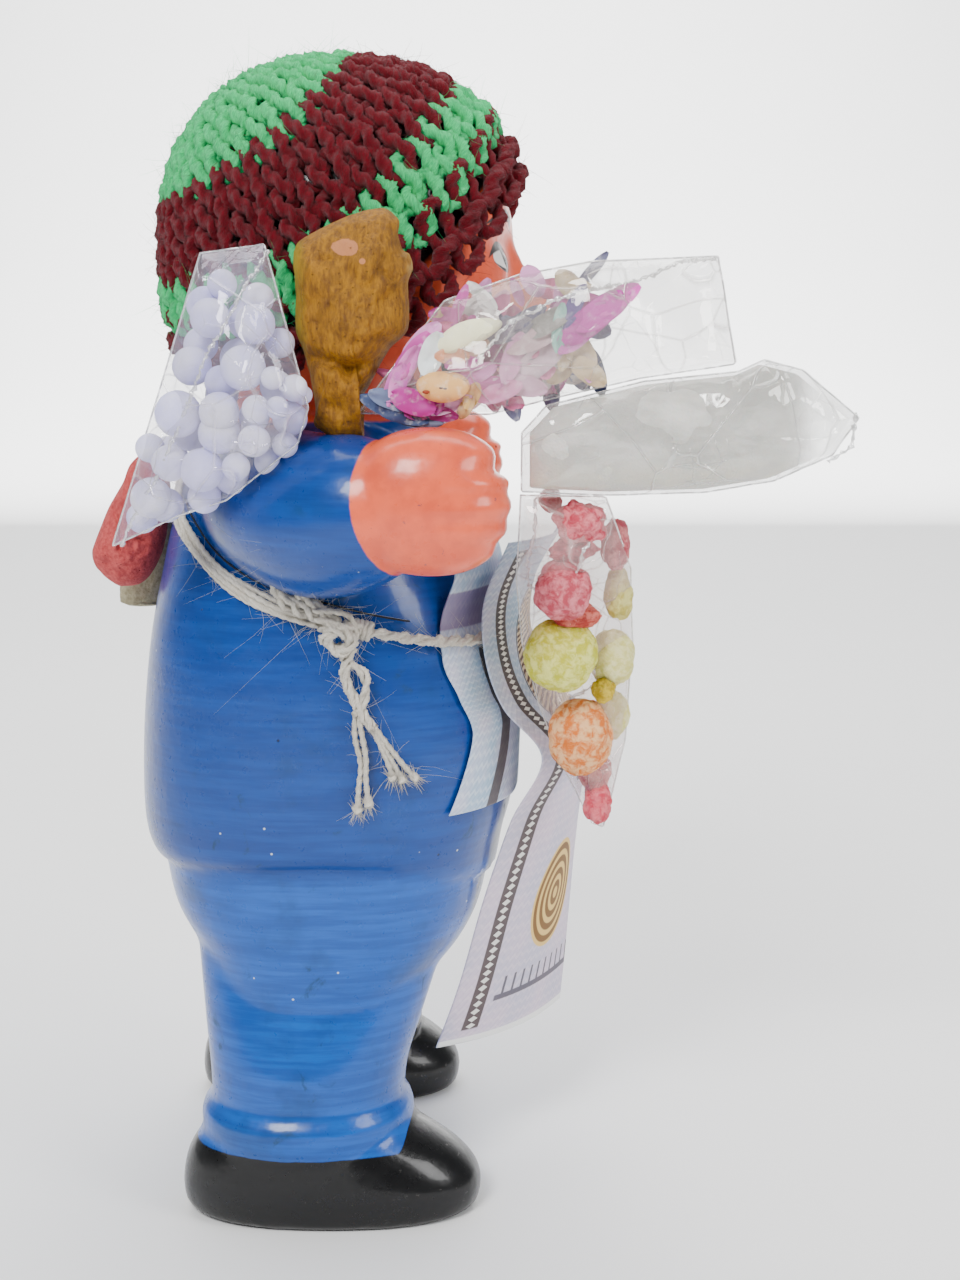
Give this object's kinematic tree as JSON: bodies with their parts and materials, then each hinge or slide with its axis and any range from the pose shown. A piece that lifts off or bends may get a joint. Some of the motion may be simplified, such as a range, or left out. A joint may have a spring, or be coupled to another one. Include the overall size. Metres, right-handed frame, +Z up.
{
  "type": "ekeko statue",
  "caption": "Cast and painted standing figure in a knitted cap, tied round with string and hung with small sealed bags, clay lumps and paper notes.",
  "frame": {"origin": "on the surface the figure stands on, under the middle of the object's bounding box", "axes": "+Z up the figure; +X the way the figure faces; -Y towards its right hand, where the goods hang"},
  "size_m": [0.1314, 0.1178, 0.2],
  "materials": {
    "enamel": "glossy hand-brushed enamel over cast plaster: blue clothes, coral skin, black shoes",
    "wool": "fuzzy acrylic yarn in stocking stitch, dark red and mint green stripes",
    "cotton": "plied off-white cotton twine with frayed ends",
    "dark_thread": "fine dark sewing thread",
    "film": "clear creased cellophane, heat sealed",
    "mustard_clay": "brush-marked mustard paint over rough modelled clay",
    "pink_clay": "matte salmon paint over cracked modelled clay",
    "cream_clay": "matte cream paint over rough modelled clay",
    "printed_paper": "thin paper printed in pale blue and pink with dark line work",
    "content": "small dry goods sealed in the clear bags"
  },
  "bodies": {
    "root": {"figure": "enamel", "knitted_cap": "wool", "string": "cotton", "thread": "dark_thread", "bag_of_balls": "film", "bag_of_confetti": "film", "bag_of_sugar": "film", "bag_of_puffs": "film", "mustard_lump": "mustard_clay", "pink_lump": "pink_clay", "cream_roll": "cream_clay", "inner_note": "printed_paper", "long_note": "printed_paper"}
  },
  "joints": []
}
